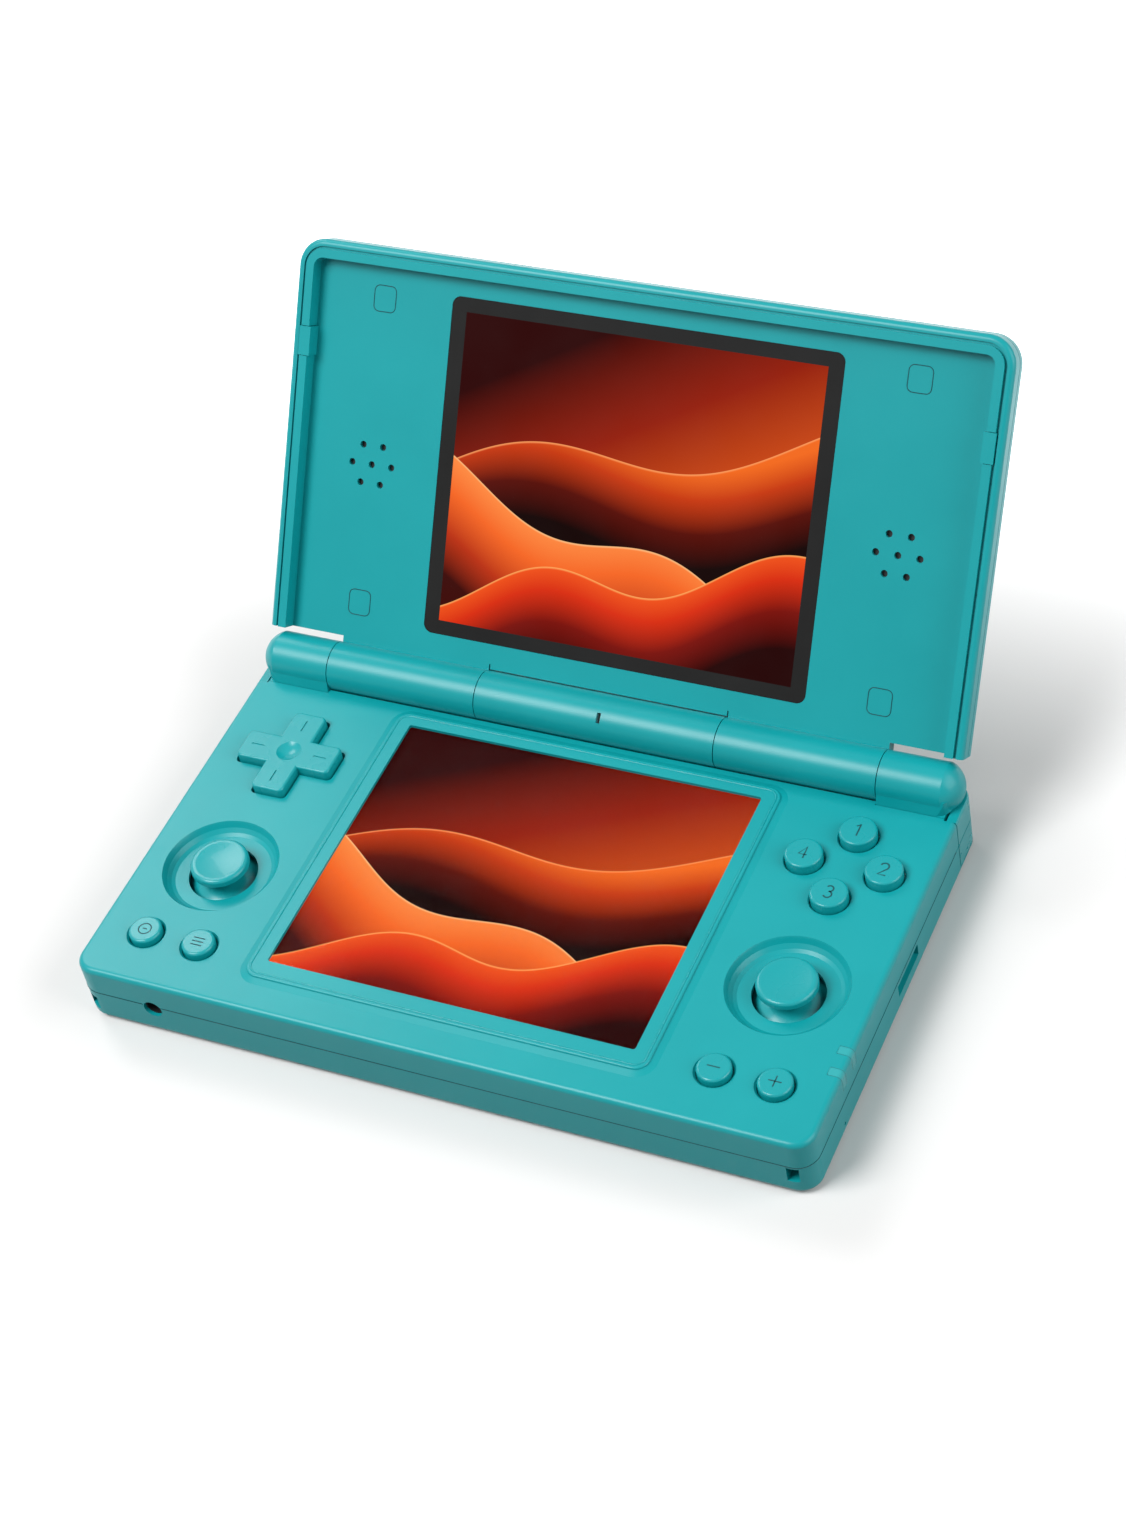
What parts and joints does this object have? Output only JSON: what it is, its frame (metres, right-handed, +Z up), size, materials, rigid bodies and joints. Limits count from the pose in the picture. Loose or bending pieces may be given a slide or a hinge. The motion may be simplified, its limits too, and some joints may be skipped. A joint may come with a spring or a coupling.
{
  "type": "clamshell handheld game console",
  "caption": "Folding handheld game console with a screen in each half, thumb sticks, a direction pad, round buttons, shoulder buttons and a barrel hinge; its lid is drawn open.",
  "frame": {"origin": "middle of the base's footprint, on the plane that its feet rest on", "axes": "+X to the player's right, +Y from the front edge to the rear, +Z up from the table; the lid is drawn 125 degrees open"},
  "size_m": [0.1613, 0.1466, 0.0933],
  "materials": {
    "case": "satin, fine grained",
    "screen_glass": "glossy",
    "black_glass": "glossy black border",
    "display": "lit picture",
    "board": "circuit board",
    "cell": "wrapped cell",
    "black_plastic": "moulded",
    "rubber": "moulded",
    "steel": "plated",
    "window": "tinted, clear",
    "ribbon": "film"
  },
  "bodies": {
    "base": {"base_top_shell": "case", "base_bottom_shell": "case", "lower_screen_glass": "screen_glass", "lower_display": "display", "main_board": "board", "battery": "cell", "left_stick_module": "black_plastic", "right_stick_module": "black_plastic", "pad_membrane": "rubber", "play_button_membrane": "rubber", "small_button_membranes": "rubber", "headphone_socket": "black_plastic", "card_socket": "steel", "charging_port": "steel", "light_windows": "window", "rubber_feet": "rubber", "case_screws": "steel", "left_shoulder_board": "board", "right_shoulder_board": "board", "shoulder_pivot_pins": "steel", "left_end_barrel": "case", "right_end_barrel": "case", "middle_barrel": "case", "left_hinge_cartridge": "steel", "right_hinge_cartridge": "steel", "hinge_sleeves": "steel", "microphone": "steel", "base_ribbon_cable": "ribbon"},
    "lid": {"lid_outer_cover": "case", "lid_inner_panel": "case", "upper_screen_glass": "black_glass", "upper_display": "display", "left_speaker": "black_plastic", "right_speaker": "black_plastic", "screw_caps": "case", "lid_screws": "steel", "rim_bumpers": "case", "lid_ribbon_cable": "ribbon"},
    "pad_rocker": {"pad_rocker": "black_plastic"},
    "direction_pad": {"direction_pad": "case"},
    "play_button_rear": {"play_button_rear": "case"},
    "play_button_front": {"play_button_front": "case"},
    "play_button_left": {"play_button_left": "case"},
    "play_button_right": {"play_button_right": "case"},
    "small_button_left_outer": {"small_button_left_outer": "case"},
    "small_button_left_inner": {"small_button_left_inner": "case"},
    "small_button_right_inner": {"small_button_right_inner": "case"},
    "small_button_right_outer": {"small_button_right_outer": "case"},
    "left_stick_yoke": {"left_stick_yoke": "steel"},
    "left_stick_arm": {"left_stick_arm": "steel"},
    "left_stick_cap": {"left_stick_cap": "case"},
    "right_stick_yoke": {"right_stick_yoke": "steel"},
    "right_stick_arm": {"right_stick_arm": "steel"},
    "right_stick_cap": {"right_stick_cap": "case"},
    "left_upper_shoulder_button": {"left_upper_shoulder_button": "case"},
    "left_lower_shoulder_button": {"left_lower_shoulder_button": "case"},
    "right_upper_shoulder_button": {"right_upper_shoulder_button": "case"},
    "right_lower_shoulder_button": {"right_lower_shoulder_button": "case"},
    "power_button": {"power_button": "case"},
    "volume_rocker": {"volume_rocker": "case"}
  },
  "joints": [
    {"name": "lid_hinge", "type": "hinge", "parent": "base", "child": "lid", "pos_m": [0, 0.0432, 0.0179], "axis": [-1, 0, 0], "range_deg": [-125, 55]},
    {"name": "pad_tilt_front_rear", "type": "hinge", "parent": "base", "child": "pad_rocker", "pos_m": [-0.0622, 0.0174, 0.0122], "axis": [1, 0, 0], "range_deg": [-4, 4], "stiffness_Nm_per_rad": 0.05, "deforming": ["pad_membrane"]},
    {"name": "pad_tilt_sides", "type": "hinge", "parent": "pad_rocker", "child": "direction_pad", "pos_m": [-0.0622, 0.0174, 0.0122], "axis": [0, 1, 0], "range_deg": [-4, 4], "stiffness_Nm_per_rad": 0.05, "deforming": ["pad_membrane"]},
    {"name": "play_press_rear", "type": "slide", "parent": "base", "child": "play_button_rear", "axis": [0, 0, -1], "range_m": [0, 0.001], "stiffness_N_per_m": 300, "deforming": ["play_button_membrane"]},
    {"name": "play_press_front", "type": "slide", "parent": "base", "child": "play_button_front", "axis": [0, 0, -1], "range_m": [0, 0.001], "stiffness_N_per_m": 300, "deforming": ["play_button_membrane"]},
    {"name": "play_press_left", "type": "slide", "parent": "base", "child": "play_button_left", "axis": [0, 0, -1], "range_m": [0, 0.001], "stiffness_N_per_m": 300, "deforming": ["play_button_membrane"]},
    {"name": "play_press_right", "type": "slide", "parent": "base", "child": "play_button_right", "axis": [0, 0, -1], "range_m": [0, 0.001], "stiffness_N_per_m": 300, "deforming": ["play_button_membrane"]},
    {"name": "small_press_left_outer", "type": "slide", "parent": "base", "child": "small_button_left_outer", "axis": [0, 0, -1], "range_m": [0, 0.0008], "stiffness_N_per_m": 300, "deforming": ["small_button_membranes"]},
    {"name": "small_press_left_inner", "type": "slide", "parent": "base", "child": "small_button_left_inner", "axis": [0, 0, -1], "range_m": [0, 0.0008], "stiffness_N_per_m": 300, "deforming": ["small_button_membranes"]},
    {"name": "small_press_right_inner", "type": "slide", "parent": "base", "child": "small_button_right_inner", "axis": [0, 0, -1], "range_m": [0, 0.0008], "stiffness_N_per_m": 300, "deforming": ["small_button_membranes"]},
    {"name": "small_press_right_outer", "type": "slide", "parent": "base", "child": "small_button_right_outer", "axis": [0, 0, -1], "range_m": [0, 0.0008], "stiffness_N_per_m": 300, "deforming": ["small_button_membranes"]},
    {"name": "left_stick_front_rear", "type": "hinge", "parent": "base", "child": "left_stick_yoke", "pos_m": [-0.0626, -0.0146, 0.007], "axis": [1, 0, 0], "range_deg": [-10, 10], "stiffness_Nm_per_rad": 0.04},
    {"name": "left_stick_sides", "type": "hinge", "parent": "left_stick_yoke", "child": "left_stick_arm", "pos_m": [-0.0626, -0.0146, 0.007], "axis": [0, 1, 0], "range_deg": [-10, 10], "stiffness_Nm_per_rad": 0.04},
    {"name": "left_stick_press", "type": "slide", "parent": "left_stick_arm", "child": "left_stick_cap", "axis": [0, 0, -1], "range_m": [0, 0.00025], "stiffness_N_per_m": 2000},
    {"name": "right_stick_front_rear", "type": "hinge", "parent": "base", "child": "right_stick_yoke", "pos_m": [0.0626, -0.012, 0.007], "axis": [1, 0, 0], "range_deg": [-10, 10], "stiffness_Nm_per_rad": 0.04},
    {"name": "right_stick_sides", "type": "hinge", "parent": "right_stick_yoke", "child": "right_stick_arm", "pos_m": [0.0626, -0.012, 0.007], "axis": [0, 1, 0], "range_deg": [-10, 10], "stiffness_Nm_per_rad": 0.04},
    {"name": "right_stick_press", "type": "slide", "parent": "right_stick_arm", "child": "right_stick_cap", "axis": [0, 0, -1], "range_m": [0, 0.00025], "stiffness_N_per_m": 2000},
    {"name": "left_upper_shoulder_press", "type": "hinge", "parent": "base", "child": "left_upper_shoulder_button", "pos_m": [-0.0788, 0.0384, 0.01], "axis": [0, 0, -1], "range_deg": [0, 1.2], "stiffness_Nm_per_rad": 1},
    {"name": "left_lower_shoulder_press", "type": "hinge", "parent": "base", "child": "left_lower_shoulder_button", "pos_m": [-0.0788, 0.0384, 0.005], "axis": [0, 0, -1], "range_deg": [0, 1.2], "stiffness_Nm_per_rad": 1},
    {"name": "right_upper_shoulder_press", "type": "hinge", "parent": "base", "child": "right_upper_shoulder_button", "pos_m": [0.0788, 0.0384, 0.01], "axis": [0, 0, 1], "range_deg": [0, 1.2], "stiffness_Nm_per_rad": 1},
    {"name": "right_lower_shoulder_press", "type": "hinge", "parent": "base", "child": "right_lower_shoulder_button", "pos_m": [0.0788, 0.0384, 0.005], "axis": [0, 0, 1], "range_deg": [0, 1.2], "stiffness_Nm_per_rad": 1},
    {"name": "power_press", "type": "slide", "parent": "base", "child": "power_button", "axis": [1, 0, 0], "range_m": [0, 0.0004], "stiffness_N_per_m": 600},
    {"name": "volume_rock", "type": "hinge", "parent": "base", "child": "volume_rocker", "pos_m": [-0.0781, 0.003, 0.0114], "axis": [0, 0, 1], "range_deg": [-1.4, 1.4], "stiffness_Nm_per_rad": 0.3}
  ]
}
